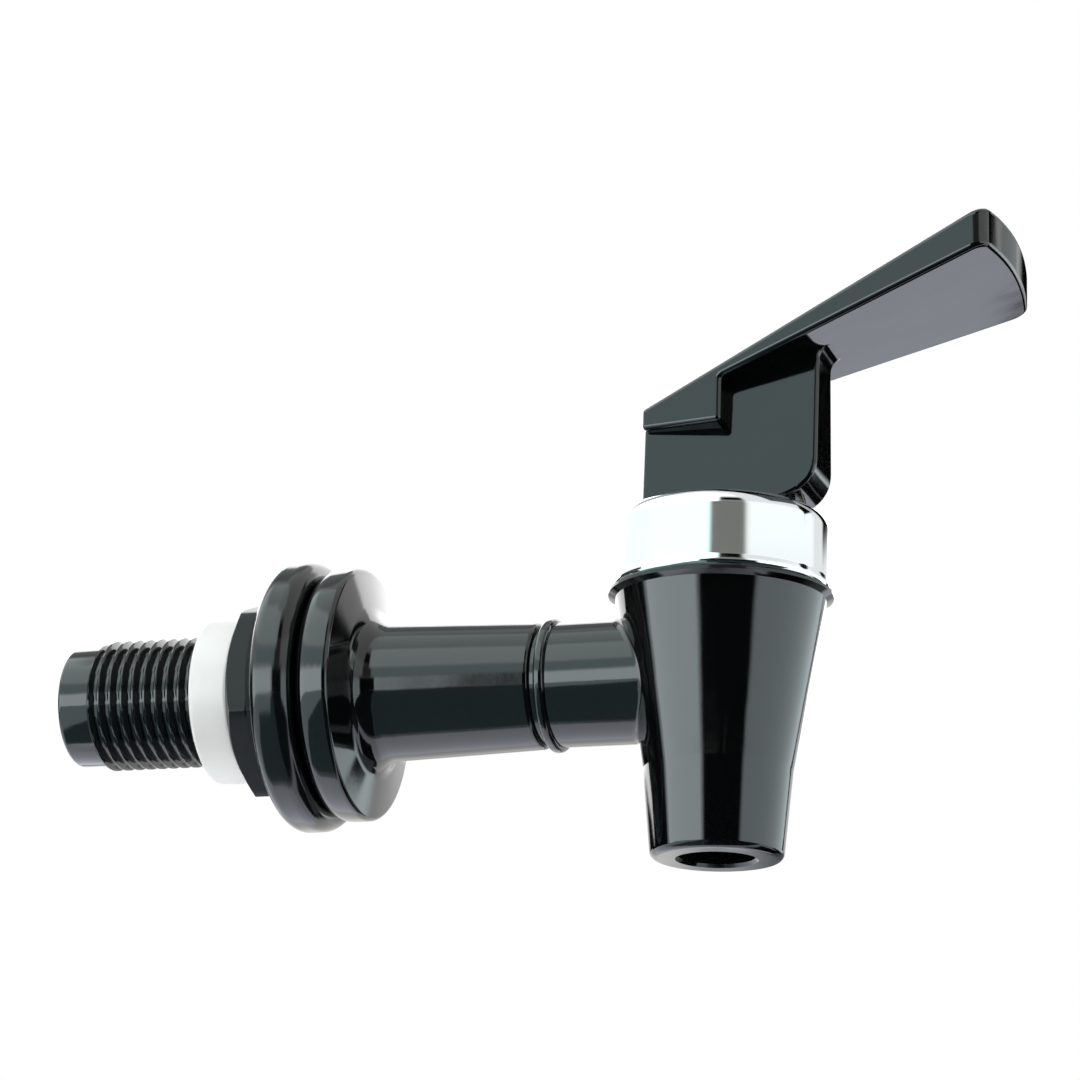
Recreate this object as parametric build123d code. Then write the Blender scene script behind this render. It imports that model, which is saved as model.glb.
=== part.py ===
from build123d import *
import math
import os

# A push-lever faucet for a beverage dispenser, in millimetres.
# The shank's axis is X, pointing out of the dispenser, and Z is up.
# The origin is on that axis, at the back of the flange, where the gasket seats.

# Shank: threaded tail, flange and tapered barrel
THREAD_DIAMETER = 16.0
TAIL_LENGTH = 33.5
PILOT_DIAMETER = 14.7
PILOT_LENGTH = 4.0
PILOT_CHAMFER = 0.6
THREAD_CHAMFER = 0.5
INLET_DIAMETER = 10.0
FLANGE_DIAMETER = 30.8
FLANGE_RIM = 4.6
FLANGE_DOME = 1.2
FLANGE_EDGE = 0.7
FLANGE_BACK_EDGE = 2.2
FLANGE_FILLET = 3.0
BARREL_ROOT_DIAMETER = 16.8
BARREL_END_DIAMETER = 15.3
BARREL_END_X = 27.1
BARREL_END_ROUND = 0.7

# Joint between the barrel and the spout's arm
SPIGOT_DIAMETER = 12.6
SPIGOT_LENGTH = 8.0
PORT_DIAMETER = 9.2
RING_SECTION = 1.1
RING_GROOVE_WIDTH = 1.5
RING_FROM_END = 2.6
NECK_DIAMETER = 14.1
NECK_WIDTH = 0.6
BEAD_DIAMETER = 16.2
BEAD_WIDTH = 1.4
ARM_DIAMETER = 15.0
ARM_FILLET = 0.8

# Spout: heights from the shank's axis
SPOUT_X = 48.5
RIM_Z = 10.1
RIM_DIAMETER = 26.8
RIM_EDGE = 0.35
LIP_HEIGHT = 1.8
LIP_ROOT_DIAMETER = 24.8
WAIST_Z = -11.2
WAIST_DIAMETER = 17.7
NOZZLE_DIAMETER = 15.7
NOZZLE_BOTTOM_Z = -21.9
NOZZLE_ROUND = 0.9
OUTLET_DIAMETER = 9.0
OUTLET_CHAMFER = 0.4
SEAT_FLOOR_Z = -8.6
SEAT_HEIGHT = 0.8
SEAT_WIDTH = 0.9
CHAMBER_FLOOR_DIAMETER = 13.8
CHAMBER_TOP_DIAMETER = 18.8
CLAMP_LEDGE_Z = 6.0
BONNET_THREAD_DIAMETER = 21.0

# Bonnet
BONNET_DIAMETER = 25.6
BONNET_HEIGHT = 9.9
BONNET_SHOULDER = 2.2
BONNET_FOOT_FLARE = 0.4
BONNET_FOOT_HEIGHT = 1.6
SPRING_POCKET_DIAMETER = 10.6
BONNET_CROWN = 3.2
THREAD_CLEARANCE = 0.06

# Stem, its pin and the spring
STEM_DIAMETER = 5.0
STEM_RUNNING_CLEARANCE = 0.05
STEM_TOP_ABOVE_PIN = 2.4
STEM_TOP_CHAMFER = 0.5
STEM_FOOT_DIAMETER = 8.6
STEM_FOOT_THICKNESS = 1.2
BUTTON_NECK_DIAMETER = 3.2
BUTTON_NECK_LENGTH = 0.8
BUTTON_DIAMETER = 4.8
BUTTON_THICKNESS = 0.7
BUTTON_CLEARANCE = 0.1
PIN_DIAMETER = 2.5
PIN_LENGTH = 6.4
PIN_RUNNING_CLEARANCE = 0.05
PIN_ABOVE_BONNET = 5.8
SPRING_WIRE = 0.8
SPRING_COIL_DIAMETER = 7.2
SPRING_TURNS = 7.5

# Seat cup
CUP_FLANGE_DIAMETER = 20.6
CUP_FLANGE_THICKNESS = 1.4
CUP_WALL = 1.2
CUP_TOP_DIAMETER = 14.4
CUP_FLOOR_DIAMETER = 12.6
CUP_FLOOR_THICKNESS = 2.2

# Gasket, nut and washer on the tail
GASKET_DIAMETER = 33.0
GASKET_THICKNESS = 6.5
GASKET_BEVEL = 3.4
GASKET_BEVEL_DEPTH = 2.1
GASKET_ROUND = 1.6
GASKET_BACK_ROUND = 1.0
GASKET_FRONT_ROUND = 2.0
TAIL_CLEARANCE = 0.25
NUT_ACROSS_FLATS = 22.5
NUT_THICKNESS = 3.2
NUT_CHAMFER_ANGLE = 30.0
NUT_RUNNING_CLEARANCE = 0.08
NUT_TILT = -20.0
NUT_GAP = 0.1
WASHER_WALL = 1.95
WASHER_THICKNESS = 5.2
WASHER_ROUND = 0.6

# Lever
LEVER_REST_GAP = 0.2
LEVER_SWING = 32.0
LIFT_PER_RADIAN = 6.5
FOOT_WIDTH = 8.6
FOOT_DRAFT_ANGLE = 3.0
FOOT_REAR = 8.8
FOOT_EDGE = 0.5
FOOT_OVERLAP = 1.2
HEEL_ROUND = 4.4
SLOT_CLEARANCE = 0.25
SNAP_NARROWING = 0.2
PADDLE_REAR_ABOVE_BONNET = 12.3
PADDLE_TOP_ANGLE = 24.4
PADDLE_UNDER_ANGLE = 19.6
PADDLE_STEP = 10.2
PADDLE_STEP_THICKNESS = 1.7
PADDLE_BLOCK_HEIGHT = 2.6
PADDLE_LENGTH = 44.6
PADDLE_REAR_WIDTH = 9.8
PADDLE_TIP_WIDTH = 27.0
PADDLE_TIP_BULGE = 1.3
PADDLE_CORNER = 2.0
PADDLE_EDGE = 0.6
ROOT_FILLET = 2.0

# Places that several pieces share
BONNET_TOP_Z = RIM_Z + BONNET_HEIGHT
PIN_Z = BONNET_TOP_Z + PIN_ABOVE_BONNET
CUP_CLAMP_Z = CLAMP_LEDGE_Z + CUP_FLANGE_THICKNESS
SEAT_Z = SEAT_FLOOR_Z + SEAT_HEIGHT
CUP_FLOOR_Z = SEAT_Z + CUP_FLOOR_THICKNESS
STEM_FOOT_Z = CUP_FLOOR_Z + STEM_FOOT_THICKNESS
SPRING_SEAT_Z = BONNET_TOP_Z - BONNET_CROWN
SOCKET_X = BARREL_END_X - SPIGOT_LENGTH
STEM_HOLE_DIAMETER = STEM_DIAMETER + 2 * STEM_RUNNING_CLEARANCE
LEVER_REAR_X = SPOUT_X - FOOT_REAR
PADDLE_STEP_X = LEVER_REAR_X + PADDLE_STEP
PADDLE_REAR_Z = BONNET_TOP_Z + PADDLE_REAR_ABOVE_BONNET
PADDLE_BLOCK_Z = PADDLE_REAR_Z - PADDLE_BLOCK_HEIGHT

SPOUT_AXIS = Axis((SPOUT_X, 0, 0), (0, 0, 1))
SIDE_VIEW = Plane((0, 0, 0), x_dir=(1, 0, 0), z_dir=(0, -1, 0))


def half_section(outline):
    """A face in the X-Z plane from a closed list of (X, Z) corners."""
    return SIDE_VIEW * make_face(Polyline(*outline, close=True))


def turned_on_shank(outline):
    """A solid turned round the shank's axis from (X, radius) corners."""
    return revolve(half_section(outline), Axis.X, 360)


def turned_on_spout(outline):
    """A solid turned round the spout's axis from (radius, Z) corners."""
    return revolve(half_section([(SPOUT_X + r, z) for r, z in outline]), SPOUT_AXIS, 360)


def rod_on_shank(diameter, start, end):
    return turned_on_shank([(start, 0), (end, 0), (end, diameter / 2), (start, diameter / 2)])


def rod_on_spout(diameter, low, high):
    return turned_on_spout([(0, low), (diameter / 2, low), (diameter / 2, high), (0, high)])


def edges_at_x(solid, x, radius):
    """The round edges of a piece on the shank's axis at one station and radius."""
    rings = solid.edges().filter_by(GeomType.CIRCLE)
    return [e for e in rings if abs(e.arc_center.X - x) < 1e-4 and abs(e.radius - radius) < 1e-4]


def edges_at_z(solid, z, radius):
    """The round edges of a piece on the spout's axis at one height and radius."""
    rings = solid.edges().filter_by(GeomType.CIRCLE)
    return [e for e in rings if abs(e.arc_center.Z - z) < 1e-4 and abs(e.radius - radius) < 1e-4]


def edges_of_junction(solid):
    """The edges of a piece that are neither round nor straight, where a cylinder runs into a cone."""
    return [e for e in solid.edges() if e.geom_type not in (GeomType.CIRCLE, GeomType.LINE)]


def make_shank():
    """One moulding: pilot, thread at its outside diameter, domed flange and tapered barrel with its socket."""
    thread_radius = THREAD_DIAMETER / 2
    pilot_radius = PILOT_DIAMETER / 2
    flange_radius = FLANGE_DIAMETER / 2
    root_radius = BARREL_ROOT_DIAMETER / 2
    end_radius = BARREL_END_DIAMETER / 2
    thread_start = -TAIL_LENGTH + PILOT_LENGTH
    dome_end = FLANGE_RIM + FLANGE_DOME
    body = turned_on_shank([
        (-TAIL_LENGTH, 0),
        (-TAIL_LENGTH, pilot_radius),
        (thread_start, pilot_radius),
        (thread_start + THREAD_CHAMFER, thread_radius),
        (0, thread_radius),
        (0, flange_radius),
        (FLANGE_RIM, flange_radius),
        (dome_end, root_radius),
        (BARREL_END_X, end_radius),
        (BARREL_END_X, 0),
    ])
    body = chamfer(edges_at_x(body, -TAIL_LENGTH, pilot_radius), PILOT_CHAMFER)
    body = fillet(edges_at_x(body, dome_end, root_radius), FLANGE_FILLET)
    body = fillet(edges_at_x(body, FLANGE_RIM, flange_radius), FLANGE_EDGE)
    body = fillet(edges_at_x(body, 0, flange_radius), FLANGE_BACK_EDGE)
    body = fillet(edges_at_x(body, BARREL_END_X, end_radius), BARREL_END_ROUND)
    body -= rod_on_shank(INLET_DIAMETER, -TAIL_LENGTH, SOCKET_X)
    return body - rod_on_shank(SPIGOT_DIAMETER, SOCKET_X, BARREL_END_X)


def ring_centre_x():
    return SOCKET_X + RING_FROM_END


def make_joint_ring():
    """O-ring that fills its groove between the spigot and the socket."""
    centre = (ring_centre_x(), 0, SPIGOT_DIAMETER / 2 - RING_SECTION / 2)
    section = Plane(centre, x_dir=(1, 0, 0), z_dir=(0, -1, 0)) * Circle(RING_SECTION / 2)
    return revolve(section, Axis.X, 360)


def make_spout_body():
    """One moulding: arm with spigot and bead, conical spout, valve chamber, seat and outlet."""
    rim_radius = RIM_DIAMETER / 2
    nozzle_radius = NOZZLE_DIAMETER / 2
    bead_start = BARREL_END_X + NECK_WIDTH
    bead_end = bead_start + BEAD_WIDTH

    cone = turned_on_spout([
        (0, NOZZLE_BOTTOM_Z),
        (nozzle_radius, NOZZLE_BOTTOM_Z),
        (WAIST_DIAMETER / 2, WAIST_Z),
        (LIP_ROOT_DIAMETER / 2, RIM_Z - LIP_HEIGHT),
        (rim_radius, RIM_Z - RIM_EDGE),
        (rim_radius, RIM_Z),
        (0, RIM_Z),
    ])
    cone = fillet(edges_at_z(cone, NOZZLE_BOTTOM_Z, nozzle_radius), NOZZLE_ROUND)

    arm = rod_on_shank(ARM_DIAMETER, BARREL_END_X, SPOUT_X)
    body = cone + arm
    body = fillet(edges_of_junction(body), ARM_FILLET)
    neck = rod_on_shank(ARM_DIAMETER + 1, BARREL_END_X, bead_start) - rod_on_shank(
        NECK_DIAMETER, BARREL_END_X, bead_start)
    body -= neck
    bead = rod_on_shank(BEAD_DIAMETER, bead_start, bead_end)
    bead = fillet(bead.edges().filter_by(GeomType.CIRCLE), (BEAD_DIAMETER - ARM_DIAMETER) / 2)
    body += bead
    spigot = rod_on_shank(SPIGOT_DIAMETER, SOCKET_X, BARREL_END_X)
    groove_start = ring_centre_x() - RING_GROOVE_WIDTH / 2
    groove_end = ring_centre_x() + RING_GROOVE_WIDTH / 2
    groove = rod_on_shank(SPIGOT_DIAMETER, groove_start, groove_end) - rod_on_shank(
        SPIGOT_DIAMETER - 2 * RING_SECTION, groove_start, groove_end)
    body += spigot - groove

    seat_radius = OUTLET_DIAMETER / 2 + SEAT_WIDTH
    chamber = turned_on_spout([
        (0, SEAT_FLOOR_Z),
        (CHAMBER_FLOOR_DIAMETER / 2, SEAT_FLOOR_Z),
        (CHAMBER_TOP_DIAMETER / 2, CLAMP_LEDGE_Z),
        (BONNET_THREAD_DIAMETER / 2, CLAMP_LEDGE_Z),
        (BONNET_THREAD_DIAMETER / 2, RIM_Z),
        (0, RIM_Z),
    ])
    body -= chamber
    body -= rod_on_shank(PORT_DIAMETER, SOCKET_X, SPOUT_X)
    body += rod_on_spout(2 * seat_radius, SEAT_FLOOR_Z, SEAT_Z)
    body -= rod_on_spout(OUTLET_DIAMETER, NOZZLE_BOTTOM_Z, SEAT_Z)
    mouth = edges_at_z(body, NOZZLE_BOTTOM_Z, OUTLET_DIAMETER / 2)
    return chamfer(mouth, OUTLET_CHAMFER)


def make_gasket():
    """Thick rubber ring: flat where it meets the flange, bevelled towards the dispenser wall, rounded rim."""
    outer = GASKET_DIAMETER / 2
    hole = THREAD_DIAMETER / 2 + TAIL_CLEARANCE
    ring = turned_on_shank([
        (-GASKET_THICKNESS, hole),
        (-GASKET_THICKNESS, outer - GASKET_BEVEL),
        (-GASKET_THICKNESS + GASKET_BEVEL_DEPTH, outer),
        (0, outer),
        (0, hole),
    ])
    ring = fillet(edges_at_x(ring, -GASKET_THICKNESS + GASKET_BEVEL_DEPTH, outer), GASKET_ROUND)
    ring = fillet(edges_at_x(ring, -GASKET_THICKNESS, outer - GASKET_BEVEL), GASKET_BACK_ROUND)
    return fillet(edges_at_x(ring, 0, outer), GASKET_FRONT_ROUND)


def make_lock_nut():
    """Thin hexagon nut with its outer corners turned down to a cone."""
    face_x = -GASKET_THICKNESS - NUT_GAP
    hole = THREAD_DIAMETER + 2 * NUT_RUNNING_CLEARANCE
    outside = Plane((face_x, 0, 0), x_dir=(0, 1, 0), z_dir=(-1, 0, 0))
    corner_radius = NUT_ACROSS_FLATS / math.sqrt(3)
    hexagon = RegularPolygon(radius=corner_radius, side_count=6, rotation=NUT_TILT)
    prism = extrude(outside * hexagon, NUT_THICKNESS)
    drop = (corner_radius - NUT_ACROSS_FLATS / 2) * math.tan(math.radians(NUT_CHAMFER_ANGLE))
    turned = turned_on_shank([
        (face_x, 0),
        (face_x, corner_radius + 1),
        (face_x - NUT_THICKNESS + drop, corner_radius),
        (face_x - NUT_THICKNESS, NUT_ACROSS_FLATS / 2),
        (face_x - NUT_THICKNESS, 0),
    ])
    return (prism & turned) - rod_on_shank(hole, face_x - NUT_THICKNESS, face_x)


def make_tail_washer():
    """Plain plastic ring, kept on the thread by the nut."""
    face_x = -GASKET_THICKNESS - 2 * NUT_GAP - NUT_THICKNESS
    back_x = face_x - WASHER_THICKNESS
    hole = THREAD_DIAMETER / 2 + TAIL_CLEARANCE
    outer = hole + WASHER_WALL
    ring = turned_on_shank([(back_x, hole), (back_x, outer), (face_x, outer), (face_x, hole)])
    return fillet(edges_at_x(ring, back_x, outer) + edges_at_x(ring, face_x, outer), WASHER_ROUND)


def make_bonnet():
    """Plated cap: rounded shoulder, flat crown that the lever's heel rolls on, and a threaded plug below."""
    radius = BONNET_DIAMETER / 2
    plug_radius = BONNET_THREAD_DIAMETER / 2 - THREAD_CLEARANCE
    cap = turned_on_spout([
        (0, CUP_CLAMP_Z),
        (plug_radius, CUP_CLAMP_Z),
        (plug_radius, RIM_Z),
        (radius + BONNET_FOOT_FLARE, RIM_Z),
        (radius, RIM_Z + BONNET_FOOT_HEIGHT),
        (radius, BONNET_TOP_Z),
        (0, BONNET_TOP_Z),
    ])
    cap = fillet(edges_at_z(cap, BONNET_TOP_Z, radius), BONNET_SHOULDER)
    cap -= rod_on_spout(SPRING_POCKET_DIAMETER, CUP_CLAMP_Z, SPRING_SEAT_Z)
    return cap - rod_on_spout(STEM_HOLE_DIAMETER, SPRING_SEAT_Z, BONNET_TOP_Z)


def button_outline(clearance):
    """(radius, Z) corners of the stem's button, below the stem's foot, with room all round it."""
    neck_low = CUP_FLOOR_Z - BUTTON_NECK_LENGTH
    button_low = neck_low - BUTTON_THICKNESS
    button_radius = BUTTON_DIAMETER / 2 + clearance
    neck_radius = BUTTON_NECK_DIAMETER / 2 + clearance
    return [
        (0, button_low - clearance),
        (button_radius, button_low - clearance),
        (button_radius, neck_low),
        (neck_radius, neck_low),
        (neck_radius, CUP_FLOOR_Z),
    ]


def make_stem():
    """Turned rod with a cross hole for its pin, a foot for the spring and a button for the seat cup."""
    top = PIN_Z + STEM_TOP_ABOVE_PIN
    radius = STEM_DIAMETER / 2
    rod = turned_on_spout(button_outline(0) + [
        (STEM_FOOT_DIAMETER / 2, CUP_FLOOR_Z),
        (STEM_FOOT_DIAMETER / 2, STEM_FOOT_Z),
        (radius, STEM_FOOT_Z),
        (radius, top - STEM_TOP_CHAMFER),
        (radius - STEM_TOP_CHAMFER, top),
        (0, top),
    ])
    across = Plane((SPOUT_X, 0, PIN_Z), x_dir=(1, 0, 0), z_dir=(0, 1, 0))
    return rod - extrude(across * Circle(PIN_DIAMETER / 2), STEM_DIAMETER, both=True)


def pin_shape(diameter, length):
    across = Plane((SPOUT_X, 0, PIN_Z), x_dir=(1, 0, 0), z_dir=(0, 1, 0))
    return extrude(across * Circle(diameter / 2), length / 2, both=True)


def make_lever_pin():
    return pin_shape(PIN_DIAMETER, PIN_LENGTH)


def make_seat_cup():
    """Silicone cup: flange clamped under the bonnet, soft wall, and a floor that grips the stem's button."""
    wall_top = CUP_TOP_DIAMETER / 2
    floor_radius = CUP_FLOOR_DIAMETER / 2
    cup = turned_on_spout([
        (0, SEAT_Z),
        (floor_radius, SEAT_Z),
        (floor_radius, CUP_FLOOR_Z),
        (wall_top, CLAMP_LEDGE_Z),
        (CUP_FLANGE_DIAMETER / 2, CLAMP_LEDGE_Z),
        (CUP_FLANGE_DIAMETER / 2, CUP_CLAMP_Z),
        (wall_top - CUP_WALL, CUP_CLAMP_Z),
        (floor_radius - CUP_WALL, CUP_FLOOR_Z),
        (0, CUP_FLOOR_Z),
    ])
    return cup - turned_on_spout(button_outline(BUTTON_CLEARANCE) + [(0, CUP_FLOOR_Z)])


def make_spring():
    """Open coil spring between the bonnet's pocket and the stem's foot."""
    low = STEM_FOOT_Z + SPRING_WIRE / 2
    height = SPRING_SEAT_Z - STEM_FOOT_Z - SPRING_WIRE
    coil_radius = SPRING_COIL_DIAMETER / 2
    line = Helix(pitch=height / SPRING_TURNS, height=height, radius=coil_radius, center=(SPOUT_X, 0, low))
    section = Plane(origin=line @ 0, z_dir=line % 0) * Circle(SPRING_WIRE / 2)
    return sweep(section, path=line)


def heel_point(turn):
    """Point of the heel, from the pin, that touches the bonnet when the lever has turned so many radians.

    The heel is the involute of a circle of radius LIFT_PER_RADIAN, so the stem rises in proportion to the turn.
    """
    drop = PIN_ABOVE_BONNET - LEVER_REST_GAP + LIFT_PER_RADIAN * turn
    along = drop * math.sin(turn) + LIFT_PER_RADIAN * math.cos(turn)
    down = drop * math.cos(turn) - LIFT_PER_RADIAN * math.sin(turn)
    return along, -down


def lever_swing():
    return math.radians(LEVER_SWING)


def foot_front():
    """How far the foot's front face stands from the pin: past the heel by the heel's rounding."""
    return heel_point(lever_swing())[0] + HEEL_ROUND * (1 - math.sin(lever_swing()))


def paddle_top(x):
    """Height of the paddle's top plane over a point of the X axis."""
    return PADDLE_REAR_Z + (x - LEVER_REAR_X) * math.tan(math.radians(PADDLE_TOP_ANGLE))


def paddle_under(x):
    """Height of the paddle's sloping underside, in front of its step."""
    step_z = paddle_top(PADDLE_STEP_X) - PADDLE_STEP_THICKNESS
    return step_z + (x - PADDLE_STEP_X) * math.tan(math.radians(PADDLE_UNDER_ANGLE))


def make_lever_slot():
    """Room in the foot for the stem's head, its pin and the lever's swing about them."""
    half_stem = STEM_DIAMETER / 2 + SLOT_CLEARANCE
    head_radius = math.hypot(STEM_DIAMETER / 2, STEM_TOP_ABOVE_PIN) + SLOT_CLEARANCE
    swing = lever_swing()
    front_low = (PIN_ABOVE_BONNET * math.sin(swing) + half_stem) / math.cos(swing)
    front_high = (half_stem * math.cos(swing), half_stem * math.sin(swing))
    pin_view = Plane((SPOUT_X, 0, PIN_Z), x_dir=(1, 0, 0), z_dir=(0, -1, 0))
    swept = make_face(Polyline(
        (-half_stem, 0), (-half_stem, -PIN_ABOVE_BONNET), (front_low, -PIN_ABOVE_BONNET), front_high, close=True))
    slot = extrude(pin_view * (swept + Circle(head_radius)), half_stem, both=True)
    pocket_length = PIN_LENGTH + 2 * SLOT_CLEARANCE
    pocket = pin_shape(PIN_DIAMETER + 2 * PIN_RUNNING_CLEARANCE, pocket_length)
    snap_low = Pos(SPOUT_X, 0, PIN_Z - PIN_ABOVE_BONNET / 2)
    snap = snap_low * Box(PIN_DIAMETER - SNAP_NARROWING, pocket_length, PIN_ABOVE_BONNET)
    return slot + pocket + snap


def make_paddle():
    """Wedge that thickens towards its tip, fan-shaped in plan, with a deeper block over the back of the foot."""
    far_x = LEVER_REAR_X + PADDLE_LENGTH
    side = half_section([
        (LEVER_REAR_X, PADDLE_BLOCK_Z),
        (PADDLE_STEP_X, PADDLE_BLOCK_Z),
        (PADDLE_STEP_X, paddle_under(PADDLE_STEP_X)),
        (far_x, paddle_under(far_x)),
        (far_x, paddle_top(far_x)),
        (LEVER_REAR_X, PADDLE_REAR_Z),
    ])
    wedge = extrude(side, PADDLE_TIP_WIDTH, both=True)
    corner_x = far_x - PADDLE_TIP_BULGE
    rear_y = PADDLE_REAR_WIDTH / 2
    corner_y = PADDLE_TIP_WIDTH / 2
    sides = Polyline((corner_x, corner_y), (LEVER_REAR_X, rear_y), (LEVER_REAR_X, -rear_y), (corner_x, -corner_y))
    tip = ThreePointArc((corner_x, -corner_y), (far_x, 0), (corner_x, corner_y))
    plan = make_face(sides + tip)
    plan = fillet(plan.vertices().filter_by_position(Axis.X, corner_x - 0.01, corner_x + 0.01), PADDLE_CORNER)
    paddle = wedge & extrude(Pos(0, 0, PADDLE_BLOCK_Z) * plan, PADDLE_LENGTH)
    return fillet(paddle.edges(), PADDLE_EDGE)


def foot_draft(sole, top):
    """Bar along the foot that is narrower at its top, as the mould's draft leaves it."""
    low = PIN_Z + sole
    high = PIN_Z + top + FOOT_OVERLAP
    low_y = FOOT_WIDTH / 2
    high_y = low_y - (high - low) * math.tan(math.radians(FOOT_DRAFT_ANGLE))
    rear_view = Plane((LEVER_REAR_X, 0, 0), x_dir=(0, 1, 0), z_dir=(1, 0, 0))
    section = make_face(Polyline((-low_y, low), (low_y, low), (high_y, high), (-high_y, high), close=True))
    return extrude(rear_view * section, PADDLE_LENGTH)


def make_foot():
    """Narrow foot with a flat sole and, in front, the cam heel that rolls on the bonnet."""
    sole = LEVER_REST_GAP - PIN_ABOVE_BONNET
    swing = lever_swing()
    heel_end = heel_point(swing)
    front = foot_front()
    round_top = heel_end[1] + HEEL_ROUND * math.cos(swing)
    under = math.radians(PADDLE_UNDER_ANGLE)
    run = ROOT_FILLET * math.tan(math.pi / 4 - under / 2)
    corner_z = paddle_under(SPOUT_X + front) - PIN_Z
    root_low = (front, corner_z - run)
    root_high = (front + run * math.cos(under), corner_z + run * math.sin(under))
    root_inside = (root_high[0] - FOOT_OVERLAP * math.sin(under), root_high[1] + FOOT_OVERLAP * math.cos(under))
    step_u = PADDLE_STEP_X - SPOUT_X
    step_top = paddle_under(PADDLE_STEP_X) + FOOT_OVERLAP / math.cos(under) - PIN_Z
    rear_top = PADDLE_BLOCK_Z + FOOT_OVERLAP - PIN_Z
    heel_steps = 8
    heel = Spline(*[heel_point(swing * i / heel_steps) for i in range(heel_steps + 1)],
                  tangents=[(1, 0), (math.cos(swing), math.sin(swing))])
    front_round = TangentArc(heel_end, (front, round_top), tangent=(math.cos(swing), math.sin(swing)))
    front_face = Line((front, round_top), root_low)
    root = TangentArc(root_low, root_high, tangent=(0, 1))
    outline = Polyline(root_high, root_inside, (step_u, step_top),
                       (-FOOT_REAR, rear_top), (-FOOT_REAR, sole), (LIFT_PER_RADIAN, sole))
    pin_view = Plane((SPOUT_X, 0, PIN_Z), x_dir=(1, 0, 0), z_dir=(0, -1, 0))
    foot = extrude(pin_view * make_face(heel + front_round + front_face + root + outline), FOOT_WIDTH, both=True)
    foot &= foot_draft(sole, root_inside[1])
    side_edges = foot.faces().sort_by(Axis.Y)[0].edges() + foot.faces().sort_by(Axis.Y)[-1].edges()
    return fillet(side_edges, FOOT_EDGE)


def make_lever():
    """One moulding of paddle and foot, open below for the stem's head."""
    return make_paddle() + make_foot() - make_lever_slot()


def write_part(name, solid):
    solid.label = name
    export_step(solid, os.path.join("parts", name + ".step"))


os.makedirs("parts", exist_ok=True)
write_part("shank", make_shank())
write_part("joint_ring", make_joint_ring())
write_part("spout_body", make_spout_body())
write_part("gasket", make_gasket())
write_part("lock_nut", make_lock_nut())
write_part("tail_washer", make_tail_washer())
write_part("bonnet", make_bonnet())
write_part("seat_cup", make_seat_cup())
write_part("stem", make_stem())
write_part("lever_pin", make_lever_pin())
write_part("spring", make_spring())
write_part("lever", make_lever())
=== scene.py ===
import math

import bmesh
import bpy
from mathutils import Matrix, Vector


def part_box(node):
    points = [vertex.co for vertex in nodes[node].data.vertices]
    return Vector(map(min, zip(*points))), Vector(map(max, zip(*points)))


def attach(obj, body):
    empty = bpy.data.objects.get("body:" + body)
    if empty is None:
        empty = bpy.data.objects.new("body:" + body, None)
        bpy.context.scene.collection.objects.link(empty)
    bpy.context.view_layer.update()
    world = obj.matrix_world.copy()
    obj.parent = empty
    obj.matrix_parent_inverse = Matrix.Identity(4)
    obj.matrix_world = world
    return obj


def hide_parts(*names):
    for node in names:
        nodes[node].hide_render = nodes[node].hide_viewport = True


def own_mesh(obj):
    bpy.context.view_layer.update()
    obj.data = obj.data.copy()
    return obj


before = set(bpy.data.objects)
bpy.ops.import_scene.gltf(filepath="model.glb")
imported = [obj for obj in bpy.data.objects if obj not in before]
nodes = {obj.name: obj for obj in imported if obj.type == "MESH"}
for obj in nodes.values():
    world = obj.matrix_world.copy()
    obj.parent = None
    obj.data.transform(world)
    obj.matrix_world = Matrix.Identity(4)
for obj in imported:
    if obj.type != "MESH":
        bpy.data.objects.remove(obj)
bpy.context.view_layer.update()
MM = 0.001

# Shank. One injection moulding of black ABS: pilot end, M16 x 1.5 thread, round flange and tapered
# barrel, with a bore right through and a socket for the spout's arm. The nut clamps it to the wall.
shank_low, shank_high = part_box("shank")
tail_end = shank_low.x / MM
barrel_end = shank_high.x / MM
flange_radius = shank_high.z / MM
flange_rim = 4.6
flange_front = 5.8
flange_edge = 0.7
flange_back_edge = 2.2
barrel_fillet = 3.0
barrel_root_radius = 8.4
barrel_end_radius = 7.65
barrel_end_round = 0.7
pilot_radius = 7.35
pilot_length = 4.0
pilot_chamfer = 0.6
thread_radius = 8.0
thread_pitch = 1.5
thread_depth = 0.92
thread_root_share = 0.25
thread_flank_share = 0.6
thread_lead_in = 0.5
thread_end = -1.5
thread_steps = 14
inlet_radius = 5.0
socket_radius = 6.3
socket_length = 8.0
edge_break = 0.15
same_point = 0.0005


def rounded(corners, steps=6):
    """A closed outline from (u, v, radius) corners, with an arc of that radius at each one."""
    outline = []
    for i, (u, v, radius) in enumerate(corners):
        here = Vector((u, v))
        before = (Vector(corners[i - 1][:2]) - here).normalized()
        after = (Vector(corners[(i + 1) % len(corners)][:2]) - here).normalized()
        if radius == 0:
            outline.append((u, v))
            continue
        half = before.angle(after) / 2
        middle = here + (before + after).normalized() * (radius / math.sin(half))
        start = here + before * (radius / math.tan(half)) - middle
        turn = start.angle_signed(here + after * (radius / math.tan(half)) - middle)
        for k in range(steps + 1):
            point = start.copy()
            point.rotate(Matrix.Rotation(-turn * k / steps, 2))
            outline.append(tuple(middle + point))
    return outline


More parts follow.
